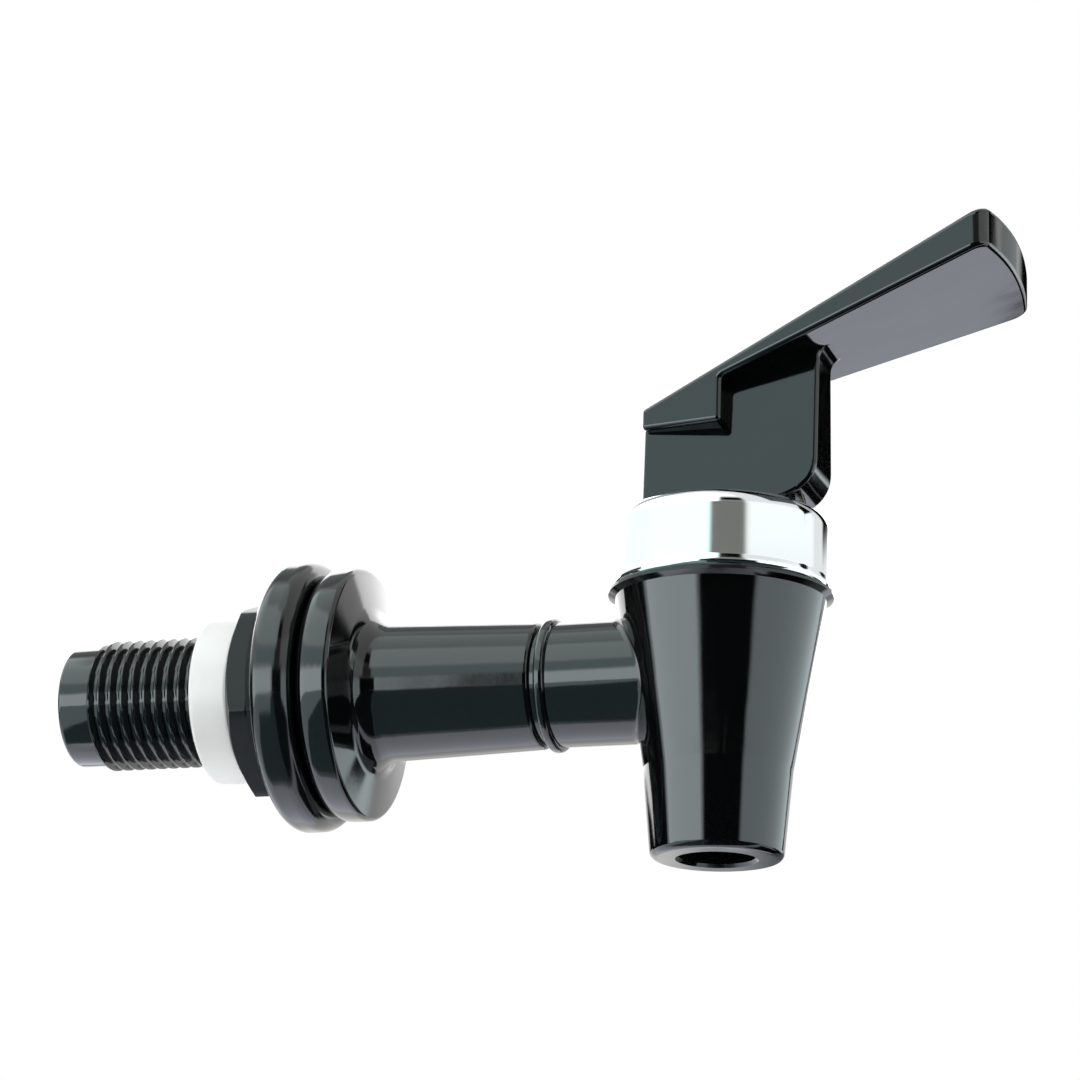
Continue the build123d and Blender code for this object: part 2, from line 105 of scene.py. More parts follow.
def turned(name, rings, place, segments=144):
    """A mesh swept round an axis: each ring is (along, radius or a function of the angle)."""
    points = []
    for along, radius in rings:
        for j in range(segments):
            angle = 2 * math.pi * j / segments
            r = radius(angle) if callable(radius) else radius
            points.append([c * MM for c in place(along, r, angle)])
    faces = []
    for i in range(len(rings)):
        for j in range(segments):
            k = (j + 1) % segments
            n = (i + 1) % len(rings)
            faces.append((i * segments + j, i * segments + k, n * segments + k, n * segments + j))
    mesh = bpy.data.meshes.new(name)
    mesh.from_pydata(points, [], faces)
    mesh.validate()
    mesh.update()
    piece = bpy.data.objects.new(name, mesh)
    bpy.context.scene.collection.objects.link(piece)
    return piece


def round_shank(along, radius, angle):
    return along, radius * math.cos(angle), radius * math.sin(angle)


def smooth(piece, sharp_angle=35):
    """Smooth shading up to an angle between faces, with near points merged and faces turned outwards."""
    work = bmesh.new()
    work.from_mesh(piece.data)
    bmesh.ops.remove_doubles(work, verts=work.verts, dist=same_point * MM)
    bmesh.ops.delete(work, geom=[edge for edge in work.edges if not edge.link_faces], context="EDGES")
    bmesh.ops.recalc_face_normals(work, faces=work.faces)
    work.to_mesh(piece.data)
    work.free()
    piece.data.shade_smooth()
    piece.data.set_sharp_from_angle(angle=math.radians(sharp_angle))


def thread_height(turns):
    """Height of the thread's flank, 0 at the root and 1 at the crest, at a number of turns along it."""
    across = abs(2 * (turns % 1) - 1)
    return min(1, max(0, (across - thread_root_share) / thread_flank_share))


def threaded_ring(x):
    """Radius of the threaded tail at one station, as a function of the angle round it."""
    start = tail_end + pilot_length
    limit = pilot_radius + (thread_radius - pilot_radius) * min(1, (x - start) / thread_lead_in)

    def radius(angle):
        height = thread_height(x / thread_pitch - angle / (2 * math.pi))
        return min(limit, thread_radius - thread_depth * (1 - height))

    return radius


outer = rounded([
    (tail_end, inlet_radius, edge_break),
    (tail_end, pilot_radius, pilot_chamfer),
    (tail_end + pilot_length, pilot_radius, 0),
    (0, thread_radius, 0),
    (0, flange_radius, flange_back_edge),
    (flange_rim, flange_radius, flange_edge),
    (flange_front, barrel_root_radius, barrel_fillet),
    (barrel_end, barrel_end_radius, barrel_end_round),
    (barrel_end, socket_radius, edge_break),
    (barrel_end - socket_length, socket_radius, 0),
    (barrel_end - socket_length, inlet_radius, 0),
])
thread_start_at = outer.index((tail_end + pilot_length, pilot_radius)) + 1
thread_stations = int((thread_end - tail_end - pilot_length) / thread_pitch * thread_steps)
thread_rings = []
for i in range(thread_stations):
    x = tail_end + pilot_length + (i + 0.5) * thread_pitch / thread_steps
    thread_rings.append((x, threaded_ring(x)))
shank_rings = outer[:thread_start_at] + thread_rings + outer[thread_start_at:]
shank = turned("shank_moulding", shank_rings, round_shank)
smooth(shank)


def linear(hex_code):
    """An sRGB hex colour as linear red, green, blue and alpha."""
    channels = [int(hex_code[i:i + 2], 16) / 255 for i in (1, 3, 5)]
    return [c / 12.92 if c <= 0.04045 else ((c + 0.055) / 1.055) ** 2.4 for c in channels] + [1]


def add_node(tree, kind, inputs, **settings):
    """One node with its settings, values and links: a socket as a value is linked."""
    node = tree.nodes.new(kind)
    for key, value in settings.items():
        setattr(node, key, value)
    for key, value in inputs.items():
        if isinstance(value, bpy.types.NodeSocket):
            tree.links.new(value, node.inputs[key])
        else:
            node.inputs[key].default_value = value
    return node


def new_material(name):
    """An empty material, its tree, its shader and the coordinates of the part's own frame."""
    material = bpy.data.materials.new(name)
    material.use_nodes = True
    tree = material.node_tree
    shader = tree.nodes["Principled BSDF"]
    place = add_node(tree, "ShaderNodeTexCoord", {}).outputs["Object"]
    return material, tree, shader, place


def per_mm(size):
    """Scale of a pattern whose features are that many millimetres across."""
    return 1 / (size * MM)


# Black ABS from a polished mould: mirror-like with a slight waviness, and a faint cloudiness in the gloss.
abs_black, tree, shader, place = new_material("abs_polished_black")
cloud = add_node(tree, "ShaderNodeTexNoise", {"Vector": place, "Scale": per_mm(6), "Detail": 3})
tint = add_node(tree, "ShaderNodeValToRGB", {"Fac": cloud.outputs["Fac"]})
tint.color_ramp.elements[0].color = linear("#050607")
tint.color_ramp.elements[1].color = linear("#090b0c")
gloss = add_node(tree, "ShaderNodeMapRange", {"Value": cloud.outputs["Fac"], "To Min": 0.06, "To Max": 0.1})
wave = add_node(tree, "ShaderNodeTexNoise", {"Vector": place, "Scale": per_mm(7), "Detail": 1})
wave_bump = add_node(tree, "ShaderNodeBump", {
    "Height": wave.outputs["Fac"], "Strength": 0.12, "Distance": 0.4 * MM})
peel = add_node(tree, "ShaderNodeTexNoise", {"Vector": place, "Scale": per_mm(0.7), "Detail": 2})
peel_bump = add_node(tree, "ShaderNodeBump", {
    "Height": peel.outputs["Fac"], "Strength": 0.08, "Distance": 0.03 * MM,
    "Normal": wave_bump.outputs["Normal"]})
tree.links.new(tint.outputs["Color"], shader.inputs["Base Color"])
tree.links.new(gloss.outputs["Result"], shader.inputs["Roughness"])
tree.links.new(peel_bump.outputs["Normal"], shader.inputs["Normal"])
shader.inputs["IOR"].default_value = 1.54

shank.data.materials.append(abs_black)
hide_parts("shank")
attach(shank, "housing")

# Spout body. One moulding of the same black ABS: arm with a bead, conical spout with a thin flared rim,
# valve chamber and outlet. Its spigot is pushed into the shank's socket. The solid's lip is thinned here:
# its foot moves up along the cone.
bonnet_low, bonnet_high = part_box("bonnet")
spout_x = (bonnet_low.x + bonnet_high.x) / 2 / MM
rim_top = 10.1
rim_radius = 13.4
rim_edge = 0.35
solid_lip = 1.8
thin_lip = 0.8
lip_foot_radius = 12.4
cone_height = 19.5
cone_widening = 3.55
outside_radius = 12.3
lip_margin = 0.01
lip_low = rim_top - solid_lip
lip_high = rim_top - rim_edge
thin_lip_low = rim_top - thin_lip
thin_lip_radius = lip_foot_radius + (thin_lip_low - lip_low) * cone_widening / cone_height
spout = bpy.data.objects.new("spout_moulding", nodes["spout_body"].data.copy())
bpy.context.scene.collection.objects.link(spout)
for point in spout.data.vertices:
    x, y, z = (c / MM for c in point.co)
    radius = math.hypot(x - spout_x, y)
    up_lip = (z - lip_low) / (lip_high - lip_low)
    if radius < outside_radius or not -lip_margin < up_lip < 1 + lip_margin:
        continue
    grow = (thin_lip_radius + (rim_radius - thin_lip_radius) * up_lip) / radius
    height = thin_lip_low + (lip_high - thin_lip_low) * up_lip
    point.co = Vector((spout_x + (x - spout_x) * grow, y * grow, height)) * MM
spout.data.materials[0] = abs_black
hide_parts("spout_body")
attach(spout, "housing")

# Joint ring. A small O-ring of black nitrile rubber in the spigot's groove, which seals the push fit.
# As moulded it is dull, with a little dust in its gloss.
nitrile, tree, shader, place = new_material("nitrile_rubber_black")
dust = add_node(tree, "ShaderNodeTexNoise", {"Vector": place, "Scale": per_mm(0.5), "Detail": 2})
gloss = add_node(tree, "ShaderNodeMapRange", {"Value": dust.outputs["Fac"], "To Min": 0.42, "To Max": 0.55})
tree.links.new(gloss.outputs["Result"], shader.inputs["Roughness"])
shader.inputs["Base Color"].default_value = linear("#1b1c1c")
shader.inputs["IOR"].default_value = 1.52
nodes["joint_ring"].data.materials[0] = nitrile

# Gasket. A thick ring of moulded black rubber behind the flange, soft enough to seal on the wall.
# The polished mould left it shiny, with a faint skin that breaks up its reflections.
rubber, tree, shader, place = new_material("moulded_rubber_black")
cloud = add_node(tree, "ShaderNodeTexNoise", {"Vector": place, "Scale": per_mm(4), "Detail": 4})
tint = add_node(tree, "ShaderNodeValToRGB", {"Fac": cloud.outputs["Fac"]})
tint.color_ramp.elements[0].color = linear("#070809")
tint.color_ramp.elements[1].color = linear("#0c0e0f")
gloss = add_node(tree, "ShaderNodeMapRange", {"Value": cloud.outputs["Fac"], "To Min": 0.1, "To Max": 0.16})
skin = add_node(tree, "ShaderNodeTexNoise", {"Vector": place, "Scale": per_mm(0.9), "Detail": 3})
skin_bump = add_node(tree, "ShaderNodeBump", {
    "Height": skin.outputs["Fac"], "Strength": 0.1, "Distance": 0.04 * MM})
tree.links.new(tint.outputs["Color"], shader.inputs["Base Color"])
tree.links.new(gloss.outputs["Result"], shader.inputs["Roughness"])
tree.links.new(skin_bump.outputs["Normal"], shader.inputs["Normal"])
shader.inputs["IOR"].default_value = 1.52
nodes["gasket"].data.materials[0] = rubber

# Lock nut. A thin hexagon nut moulded in black nylon, with its outer corners turned down,
# which screws along the tail and presses on the wall.
nut_low, nut_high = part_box("lock_nut")
nut_face = nut_high.x / MM
nut_back = nut_low.x / MM
nut_flat_radius = 11.25
nut_hole_radius = 8.08
nut_tilt = -20
nut_chamfer_slope = math.tan(math.radians(30))
nut_corner_round = 0.25
nut_edge = 0.15
nut_sharp_angle = 25
nut_flat_steps = 48
nut_segments = 6 * nut_flat_steps


def hexagon_radius(angle):
    """Distance of the nut's side from its axis, with the six corners slightly rounded."""
    turn = (angle + math.radians(nut_tilt)) % (math.pi / 3) - math.pi / 6
    sharp = nut_flat_radius / math.cos(turn)
    corner = nut_flat_radius / math.cos(math.pi / 6)
    short = max(0, sharp - (corner - 2 * nut_corner_round))
    return sharp - short * short / (8 * nut_corner_round)


def nut_ring(shrink):
    return lambda angle: hexagon_radius(angle) - shrink


nut = turned("lock_nut_moulding", [
    (nut_face, nut_hole_radius + nut_edge),
    (nut_face, nut_ring(nut_edge)),
    (nut_face - nut_edge, nut_ring(0)),
    (nut_back, nut_ring(0)),
    (nut_back, nut_flat_radius - nut_edge),
    (nut_back, nut_hole_radius + nut_edge),
    (nut_back + nut_edge, nut_hole_radius),
    (nut_face - nut_edge, nut_hole_radius),
], round_shank, nut_segments)
outside_ring = 3
for j in range(nut_segments):
    corner = nut.data.vertices[outside_ring * nut_segments + j]
    reach = math.hypot(corner.co.y, corner.co.z) / MM - nut_flat_radius
    corner.co.x += (max(0, reach) * nut_chamfer_slope + nut_edge) * MM
smooth(nut, nut_sharp_angle)

# Black nylon from a grained mould: satin, with weak reflections. The grain is drawn coarse enough to show.
nylon_black, tree, shader, place = new_material("nylon_satin_black")
cloud = add_node(tree, "ShaderNodeTexNoise", {"Vector": place, "Scale": per_mm(3), "Detail": 3})
tint = add_node(tree, "ShaderNodeValToRGB", {"Fac": cloud.outputs["Fac"]})
tint.color_ramp.elements[0].color = linear("#0f1112")
tint.color_ramp.elements[1].color = linear("#181b1c")
gloss = add_node(tree, "ShaderNodeMapRange", {"Value": cloud.outputs["Fac"], "To Min": 0.3, "To Max": 0.42})
grain = add_node(tree, "ShaderNodeTexNoise", {"Vector": place, "Scale": per_mm(0.4), "Detail": 2})
grain_bump = add_node(tree, "ShaderNodeBump", {
    "Height": grain.outputs["Fac"], "Strength": 0.15, "Distance": 0.03 * MM})
tree.links.new(tint.outputs["Color"], shader.inputs["Base Color"])
tree.links.new(gloss.outputs["Result"], shader.inputs["Roughness"])
tree.links.new(grain_bump.outputs["Normal"], shader.inputs["Normal"])
shader.inputs["IOR"].default_value = 1.53
shader.inputs["Specular IOR Level"].default_value = 0.2
nut.data.materials.append(nylon_black)
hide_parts("lock_nut")
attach(nut, "nut")

# Tail washer. A plain ring of undyed nylon that the nut pushes along the thread. As moulded it is milky
# white and satin, and light goes a little way into it.
nylon_white, tree, shader, place = new_material("nylon_natural_white")
cloud = add_node(tree, "ShaderNodeTexNoise", {"Vector": place, "Scale": per_mm(5), "Detail": 3})
tint = add_node(tree, "ShaderNodeValToRGB", {"Fac": cloud.outputs["Fac"]})
tint.color_ramp.elements[0].color = linear("#eceeec")
tint.color_ramp.elements[1].color = linear("#f6f7f5")
grain = add_node(tree, "ShaderNodeTexNoise", {"Vector": place, "Scale": per_mm(0.5), "Detail": 2})
grain_bump = add_node(tree, "ShaderNodeBump", {
    "Height": grain.outputs["Fac"], "Strength": 0.1, "Distance": 0.03 * MM})
tree.links.new(tint.outputs["Color"], shader.inputs["Base Color"])
tree.links.new(grain_bump.outputs["Normal"], shader.inputs["Normal"])
shader.inputs["Roughness"].default_value = 0.4
shader.inputs["IOR"].default_value = 1.53
shader.inputs["Subsurface Weight"].default_value = 0.15
shader.inputs["Subsurface Radius"].default_value = (1, 1, 1)
shader.inputs["Subsurface Scale"].default_value = 0.8 * MM
nodes["tail_washer"].data.materials[0] = nylon_white

# Bonnet. A cap of chromium-plated ABS screwed into the spout: rounded shoulder, flat crown that the
# lever's heel rolls on, and below it the plug with its pocket for the spring.
bonnet_top = bonnet_high.z / MM
bonnet_plug_low = bonnet_low.z / MM
bonnet_foot_radius = (bonnet_high.x - bonnet_low.x) / 2 / MM
bonnet_radius = 12.8
bonnet_foot_height = 1.6
bonnet_foot_round = 0.9
bonnet_foot_blend = 0.8
bonnet_arc_steps = 12
bonnet_shoulder = 2.2
bonnet_height = 9.9
bonnet_plug_radius = 10.44
pocket_radius = 5.3
pocket_depth = 3.2
stem_hole_radius = 2.55


def round_spout(radius, height, angle):
    return spout_x + radius * math.cos(angle), radius * math.sin(angle), height


def turned_on_spout(name, outline):
    """A mesh swept round the spout's axis from a closed (radius, height) outline."""
    return turned(name, outline, round_spout)


bonnet = turned_on_spout("bonnet_cap", rounded([
    (stem_hole_radius, bonnet_top, edge_break),
    (stem_hole_radius, bonnet_top - pocket_depth, 0),
    (pocket_radius, bonnet_top - pocket_depth, 0),
    (pocket_radius, bonnet_plug_low, edge_break),
    (bonnet_plug_radius, bonnet_plug_low, edge_break),
    (bonnet_plug_radius, bonnet_top - bonnet_height, 0),
    (bonnet_foot_radius, bonnet_top - bonnet_height, bonnet_foot_round),
    (bonnet_radius, bonnet_top - bonnet_height + bonnet_foot_height, bonnet_foot_blend),
    (bonnet_radius, bonnet_top, bonnet_shoulder),
], bonnet_arc_steps))
smooth(bonnet)

# Bright chromium over the polished moulding: a clean mirror with a very slight haze.
chrome, tree, shader, place = new_material("chromium_plating_bright")
haze = add_node(tree, "ShaderNodeTexNoise", {"Vector": place, "Scale": per_mm(3), "Detail": 4})
gloss = add_node(tree, "ShaderNodeMapRange", {"Value": haze.outputs["Fac"], "To Min": 0.05, "To Max": 0.12})
tree.links.new(gloss.outputs["Result"], shader.inputs["Roughness"])
shader.inputs["Base Color"].default_value = linear("#dfe2e3")
shader.inputs["Metallic"].default_value = 1
bonnet.data.materials.append(chrome)
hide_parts("bonnet")
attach(bonnet, "housing")

# Seat cup. A soft silicone cup clamped under the bonnet, whose floor closes the outlet.
# Its wall gives as the stem lifts the floor.
cup_low, cup_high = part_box("seat_cup")
cup_flange_thickness = 1.4
cup_floor_thickness = 2.2
cup_top = cup_high.z / MM
cup_flange_low = cup_top - cup_flange_thickness
cup_flange_radius = (cup_high.x - cup_low.x) / 2 / MM
cup_floor = cup_low.z / MM
cup_floor_top = cup_floor + cup_floor_thickness
cup_floor_radius = 6.3
cup_wall_top_radius = 7.2
cup_wall = 1.2
cup_floor_edge = 0.4
cup_wall_bend = 0.5
cup_flange_fillet = 0.3
cup_flange_edge = 0.2
button_radius = 2.5
button_room = 0.8
neck_radius = 1.7
neck_length = 0.8
neck_edge = 0.1
neck_low = cup_floor_top - neck_length
button_low = neck_low - button_room

cup = turned_on_spout("seat_cup_soft", rounded([
    (0, cup_floor, 0),
    (cup_floor_radius, cup_floor, cup_floor_edge),
    (cup_floor_radius, cup_floor_top, cup_wall_bend),
    (cup_wall_top_radius, cup_flange_low, cup_flange_fillet),
    (cup_flange_radius, cup_flange_low, cup_flange_edge),
    (cup_flange_radius, cup_top, cup_flange_edge),
    (cup_wall_top_radius - cup_wall, cup_top, cup_flange_fillet),
    (cup_floor_radius - cup_wall, cup_floor_top, cup_floor_edge),
    (neck_radius, cup_floor_top, neck_edge),
    (neck_radius, neck_low, 0),
    (button_radius, neck_low, 0),
    (button_radius, button_low, 0),
    (0, button_low, 0),
]))
smooth(cup)

# Undyed silicone from a plain mould: milky, with a soft sheen and light that goes well into it.
silicone, tree, shader, place = new_material("silicone_translucent")
cloud = add_node(tree, "ShaderNodeTexNoise", {"Vector": place, "Scale": per_mm(2), "Detail": 2})
tint = add_node(tree, "ShaderNodeValToRGB", {"Fac": cloud.outputs["Fac"]})
tint.color_ramp.elements[0].color = linear("#d9dad6")
tint.color_ramp.elements[1].color = linear("#e4e5e1")
tree.links.new(tint.outputs["Color"], shader.inputs["Base Color"])
shader.inputs["Roughness"].default_value = 0.35
shader.inputs["IOR"].default_value = 1.41
shader.inputs["Subsurface Weight"].default_value = 0.5
shader.inputs["Subsurface Radius"].default_value = (1, 1, 1)
shader.inputs["Subsurface Scale"].default_value = 1.5 * MM
cup.data.materials.append(silicone)
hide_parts("seat_cup")
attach(cup, "housing")
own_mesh(cup)

# Stem and lever pin. Turned stainless steel: the rod slides in the bonnet, and the pin through its head
# carries the lever. The lathe's rings are drawn coarser than real ones, so that they show. The wave pattern
# turns by 20 radians for each unit of its scale.
ring_spacing = 1.885
wave_rate = 20
steel, tree, shader, place = new_material("stainless_steel_turned")
ring_scale = 2 * math.pi * per_mm(ring_spacing) / wave_rate
rings = add_node(tree, "ShaderNodeTexWave", {
    "Vector": place, "Scale": ring_scale, "Distortion": 1.5, "Detail": 2}, bands_direction="Z")
gloss = add_node(tree, "ShaderNodeMapRange", {
    "Value": rings.outputs["Fac"], "To Min": 0.22, "To Max": 0.34})
ring_bump = add_node(tree, "ShaderNodeBump", {
    "Height": rings.outputs["Fac"], "Strength": 0.2, "Distance": 0.01 * MM})
tree.links.new(gloss.outputs["Result"], shader.inputs["Roughness"])
tree.links.new(ring_bump.outputs["Normal"], shader.inputs["Normal"])
shader.inputs["Base Color"].default_value = linear("#c8c8c6")
shader.inputs["Metallic"].default_value = 1
nodes["stem"].data.materials[0] = steel
nodes["lever_pin"].data.materials[0] = steel

# Spring. An open coil of stainless wire between the bonnet's pocket and the stem's foot, which shortens
# as the stem rises.
spring_low, spring_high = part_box("spring")
wire_radius = 0.4
coil_radius = 3.6
coil_turns = 7.5
steps_per_turn = 40
wire_sides = 12
spring_sharp_angle = 60
coil_steps = int(coil_turns * steps_per_turn)
spring_base = spring_low.z / MM + wire_radius
spring_rise = (spring_high.z - spring_low.z) / MM - 2 * wire_radius
points = []
for i in range(coil_steps + 1):
    angle = 2 * math.pi * i / steps_per_turn
    for j in range(wire_sides):
        round_wire = 2 * math.pi * j / wire_sides
        radius = coil_radius + wire_radius * math.cos(round_wire)
        height = spring_base + spring_rise * i / coil_steps + wire_radius * math.sin(round_wire)
        points.append([c * MM for c in round_spout(radius, height, angle)])
faces = []
for i in range(coil_steps):
    here = i * wire_sides
    beyond = here + wire_sides
    for j in range(wire_sides):
        k = (j + 1) % wire_sides
        faces.append((here + j, here + k, beyond + k, beyond + j))
faces.append(tuple(range(wire_sides)))
faces.append(tuple(range(len(points) - wire_sides, len(points))))
spring_mesh = bpy.data.meshes.new("spring_coil")
spring_mesh.from_pydata(points, [], faces)
spring = bpy.data.objects.new("spring_coil", spring_mesh)
bpy.context.scene.collection.objects.link(spring)
smooth(spring, spring_sharp_angle)
spring.data.materials.append(steel)
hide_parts("spring")
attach(spring, "housing")
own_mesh(spring)

# Lever. One moulding of black ABS: fan-shaped paddle that is pushed down, and a narrow foot with the cam
# heel. It snaps over the stem's pin.
nodes["lever"].data.materials[0] = abs_black

# Studio. A pale floor below the hung part that runs out into white, and white all round for the eye and
# for reflections.
floor_z = -0.16
floor_half = 3.0
floor_fade_start = 0.25
floor_fade_end = 1.3
room_strength = 0.35
floor_mesh = bpy.data.meshes.new("floor")
floor_corners = ((-1, -1), (1, -1), (1, 1), (-1, 1))
floor_points = [(x * floor_half, y * floor_half, floor_z) for x, y in floor_corners]
floor_mesh.from_pydata(floor_points, [], [(0, 1, 2, 3)])
floor = bpy.data.objects.new("floor", floor_mesh)
bpy.context.scene.collection.objects.link(floor)


def shown_rays(tree):
    """1 for what is seen straight, in a reflection or through a clear piece, and 0 for the light itself."""
    light_path = add_node(tree, "ShaderNodeLightPath", {})
    shown = light_path.outputs["Is Camera Ray"]
    for ray in ("Is Glossy Ray", "Is Transmission Ray"):
        either = add_node(tree, "ShaderNodeMath", {0: shown, 1: light_path.outputs[ray]}, operation="MAXIMUM")
        shown = either.outputs[0]
    return shown


# Pale paper: matt, so that it takes the part's shadow, and plain white to the eye far from the part.
paper, tree, shader, place = new_material("paper_pale")
shader.inputs["Base Color"].default_value = linear("#f4f4f3")
shader.inputs["Roughness"].default_value = 0.9
away = add_node(tree, "ShaderNodeVectorMath", {0: place}, operation="LENGTH")
far = add_node(tree, "ShaderNodeMapRange", {
    "Value": away.outputs["Value"], "From Min": floor_fade_start, "From Max": floor_fade_end},
    interpolation_type="SMOOTHSTEP")
faded = add_node(tree, "ShaderNodeMath", {
    0: shown_rays(tree), 1: far.outputs["Result"]}, operation="MULTIPLY")
white = add_node(tree, "ShaderNodeEmission", {"Color": (1, 1, 1, 1), "Strength": 1})
both = add_node(tree, "ShaderNodeMixShader", {
    0: faded.outputs[0], 1: shader.outputs[0], 2: white.outputs[0]})
tree.links.new(both.outputs[0], tree.nodes["Material Output"].inputs["Surface"])
floor.data.materials.append(paper)

world = bpy.data.worlds.new("studio")
bpy.context.scene.world = world
world.use_nodes = True
tree = world.node_tree
tree.nodes.clear()
room = add_node(tree, "ShaderNodeBackground", {"Color": (1, 1, 1, 1), "Strength": room_strength})
white = add_node(tree, "ShaderNodeBackground", {"Color": (1, 1, 1, 1), "Strength": 1})
both = add_node(tree, "ShaderNodeMixShader", {
    0: shown_rays(tree), 1: room.outputs[0], 2: white.outputs[0]})
add_node(tree, "ShaderNodeOutputWorld", {"Surface": both.outputs[0]})

# Soft boxes and black flags: cards round the part that only its gloss sees, each fading out at its edges.
# A card of the sky is given by the compass angles that it spans, from the front towards the part's right,
# and by its heights, all in degrees. A flat card is given by a corner and its two sides, in metres.
card_centre = Vector((0.026, 0, 0.012))
card_distance = 1.1
card_steps = 12
sky_edge = 8
flat_edge = 0.008


def glowing_card(name, place, fades, colour, strength):
    """A card whose surface is place(u, v), with u and v from 0 to 1. It is black at strength 0."""
    shares = [i / card_steps for i in range(card_steps + 1)]
    corners = [(u, v) for v in shares for u in shares]
    faces = []
    for j in range(card_steps):
        for i in range(card_steps):
            first = j * (card_steps + 1) + i
            faces.append((first, first + 1, first + card_steps + 2, first + card_steps + 1))
    mesh = bpy.data.meshes.new(name)
    mesh.from_pydata([place(u, v) for u, v in corners], [], faces)
    chart = mesh.uv_layers.new(name="chart")
    for loop in mesh.loops:
        chart.data[loop.index].uv = corners[loop.vertex_index]

    material = bpy.data.materials.new(name)
    material.use_nodes = True
    tree = material.node_tree
    tree.nodes.clear()
    chart_place = add_node(tree, "ShaderNodeTexCoord", {}).outputs["UV"]
    along = add_node(tree, "ShaderNodeSeparateXYZ", {"Vector": chart_place})
    covers = []
    for axis, fade in zip("XY", fades):
        inwards = add_node(tree, "ShaderNodeMath", {0: along.outputs[axis], 1: 0.5}, operation="PINGPONG")
        cover = add_node(tree, "ShaderNodeMapRange", {"Value": inwards.outputs[0], "From Max": fade},
                         interpolation_type="SMOOTHSTEP")
        covers.append(cover.outputs["Result"])
    cover = add_node(tree, "ShaderNodeMath", {0: covers[0], 1: covers[1]}, operation="MULTIPLY")
    clear = add_node(tree, "ShaderNodeBsdfTransparent", {})
    glow = add_node(tree, "ShaderNodeEmission", {"Color": linear(colour), "Strength": strength})
    mixed = add_node(tree, "ShaderNodeMixShader", {
        0: cover.outputs[0], 1: clear.outputs[0], 2: glow.outputs[0]})
    add_node(tree, "ShaderNodeOutputMaterial", {"Surface": mixed.outputs[0]})
    mesh.materials.append(material)

    card = bpy.data.objects.new(name, mesh)
    bpy.context.scene.collection.objects.link(card)
    card.visible_camera = False
    card.visible_diffuse = False
    card.visible_shadow = False
    card.visible_transmission = False


def direction(azimuth, height):
    """The way from the part to a compass angle and a height, both in degrees."""
    side = math.radians(azimuth)
    up = math.radians(height)
    return Vector((math.sin(side) * math.cos(up), -math.cos(side) * math.cos(up), math.sin(up)))


def sky_card(name, azimuths, heights, colour, strength):
    """A card on a sphere round the part. Its fading edges reach half their width past the angles."""
    low = [span[0] - sky_edge / 2 for span in (azimuths, heights)]
    size = [span[1] - span[0] + sky_edge for span in (azimuths, heights)]

    def place(u, v):
        return card_centre + direction(low[0] + size[0] * u, low[1] + size[1] * v) * card_distance

    glowing_card(name, place, [sky_edge / length for length in size], colour, strength)


def flat_card(name, corner, across, up, colour, strength):
    """A flat card from a corner along two sides. Its fading edges lie inside it."""
    corner, across, up = Vector(corner), Vector(across), Vector(up)

    def place(u, v):
        return corner + across * u + up * v

    glowing_card(name, place, [flat_edge / across.length, flat_edge / up.length], colour, strength)


sky_card("soft_box_left", (-74, -9), (-16, 12), "#ebf9fb", 5.0)
sky_card("soft_box_left_upper", (-74, 3), (12, 28), "#d8f3f4", 1.9)
sky_card("soft_box_far_left", (-150, -74), (13, 32), "#f4f8f8", 1.4)
sky_card("soft_box_above", (-110, 12), (28, 62), "#e6f6f4", 3.0)
sky_card("soft_box_zenith", (-110, 40), (62, 87), "#e6f6f4", 1.9)
sky_card("card_back_above", (-178, -118), (40, 66), "#e6f2f2", 0.55)
sky_card("soft_box_right", (54, 158), (-16, 10), "#e6f5f8", 2.5)
sky_card("soft_box_right_upper", (44, 130), (14, 32), "#f4f8f8", 1.4)
sky_card("flag_front", (-8, 54), (-18, 12), "#000000", 0)
sky_card("flag_front_upper", (3, 41), (12, 32), "#f2f2ea", 0.25)
sky_card("flag_front_top", (8, 41), (32, 52), "#000000", 0)
sky_card("flag_left", (-140, -74), (-16, 11), "#000000", 0)

board_z = floor_z + 0.01
board_reach = 0.9
flat_card("board_far_left", (-board_reach, -board_reach, board_z), (board_reach - 0.13, 0, 0),
          (0, board_reach, 0), "#d4ecee", 2.0)
flat_card("board_front_left", (-0.14, -board_reach, board_z), (0.18, 0, 0),
          (0, board_reach, 0), "#b4dfe6", 0.42)
flat_card("board_front_right", (0.02, -board_reach, board_z), (board_reach, 0, 0),
          (0, board_reach, 0), "#b4dfe6", 0.04)
flat_card("board_back_left", (-board_reach, -0.02, board_z), (board_reach + 0.05, 0, 0),
          (0, 0.57, 0), "#e9eefa", 2.2)
flat_card("board_back_right", (0.03, -0.02, board_z), (board_reach, 0, 0),
          (0, 0.57, 0), "#e9eefa", 1.7)
flat_card("board_far_back", (-board_reach, 0.53, board_z), (2 * board_reach, 0, 0),
          (0, 0.5, 0), "#f0f3fa", 0.7)
flag_z = board_z + 0.002
flat_card("flag_floor_front", (-0.04, -0.95, flag_z), (0.45, 0, 0), (0, 0.33, 0), "#000000", 0)
flat_card("flag_floor", (0.08, 0.03, flag_z), (0.22, 0, 0), (0, 0.3, 0), "#000000", 0)
flat_card("flag_floor_far", (0.17, 0.31, flag_z), (0.45, 0, 0), (0, 0.5, 0), "#000000", 0)
back_y = 0.15
flat_card("soft_box_back", (-0.3, back_y, 0.02), (0.385, 0, 0), (0, 0, 0.18), "#fafafa", 3.2)
flat_card("flag_back_heel", (0.086, back_y, -0.012), (0.042, 0, 0), (0, 0, 0.05), "#000000", 0)
near_y = 0.06
flat_card("flag_back_foot", (0.06, near_y, 0.03), (0.036, 0, 0), (0, 0, 0.08), "#000000", 0)
flat_card("card_back_dim", (0.088, near_y, 0.064), (0.03, 0, 0), (0, 0, 0.06), "#eef4f4", 0.55)
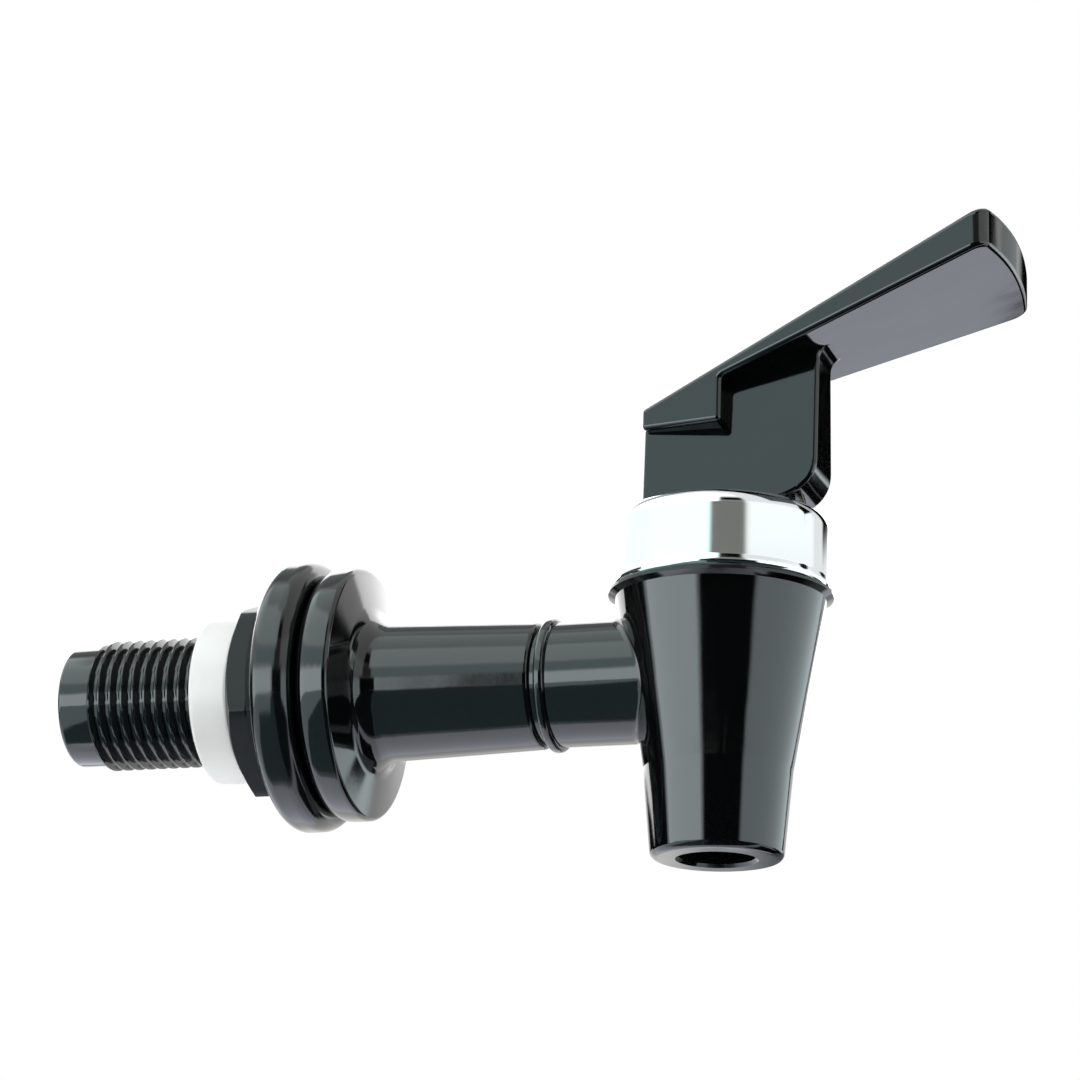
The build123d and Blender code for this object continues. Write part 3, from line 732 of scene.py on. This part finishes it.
flat_card("card_low_left", (-0.06, near_y, -0.06), (0.092, 0, 0), (0, 0, 0.045), "#f4f4f2", 1.5)
flat_card("card_low_right", (0.034, near_y, -0.06), (0.05, 0, 0), (0, 0, 0.045), "#dfe8ea", 0.3)
flat_card("flag_back_paddle", (0.114, near_y, 0.066), (0.09, 0, 0), (0, 0, 0.06), "#000000", 0)

# Lamps: soft light from the upper left, a weaker one from the right and one from above. The gloss sees
# the cards in their place. Each lamp has the way to it, its size in metres and its power in watts.
lamp_distance = 0.9
lamps = (
    ("key", direction(-40, 45), 0.6, 4.5),
    ("fill", direction(75, 30), 0.6, 2.0),
    ("top", direction(180, 75), 0.7, 1.5),
)
for name, way, size, power in lamps:
    lamp_data = bpy.data.lights.new(name, "AREA")
    lamp_data.shape = "SQUARE"
    lamp_data.size = size
    lamp_data.energy = power
    lamp = bpy.data.objects.new(name, lamp_data)
    lamp.location = card_centre + way * lamp_distance
    lamp.rotation_mode = "QUATERNION"
    lamp.rotation_quaternion = way.to_track_quat("Z", "Y")
    lamp.visible_glossy = False
    lamp.visible_camera = False
    bpy.context.scene.collection.objects.link(lamp)

# Camera: below the part and a little to its right, looking up, as the photograph was taken.
camera_azimuth = 17.71
camera_elevation = -15.89
camera_roll = -1.61
camera_distance = 0.4805
camera_target = Vector((0.02575, 0, 0.01824))
pixels_per_mm = 8.26
photo_pixels = 1080
sensor = 36
roll = math.radians(camera_roll)
back = direction(camera_azimuth, camera_elevation)
level_right = direction(camera_azimuth + 90, 0)
level_up = back.cross(level_right)
camera_right = level_right * math.cos(roll) - level_up * math.sin(roll)
camera_up = level_right * math.sin(roll) + level_up * math.cos(roll)
camera_data = bpy.data.cameras.new("camera")
camera_data.sensor_width = sensor
camera_data.lens = sensor * pixels_per_mm * camera_distance / MM / photo_pixels
camera_data.clip_start = 0.01
camera_data.clip_end = 20
camera = bpy.data.objects.new("camera", camera_data)
eye = camera_target + back * camera_distance
camera.matrix_world = Matrix((
    (camera_right.x, camera_up.x, back.x, eye.x),
    (camera_right.y, camera_up.y, back.y, eye.y),
    (camera_right.z, camera_up.z, back.z, eye.z),
    (0, 0, 0, 1)))
bpy.context.scene.collection.objects.link(camera)
bpy.context.scene.camera = camera
bpy.context.scene.view_settings.view_transform = "Standard"
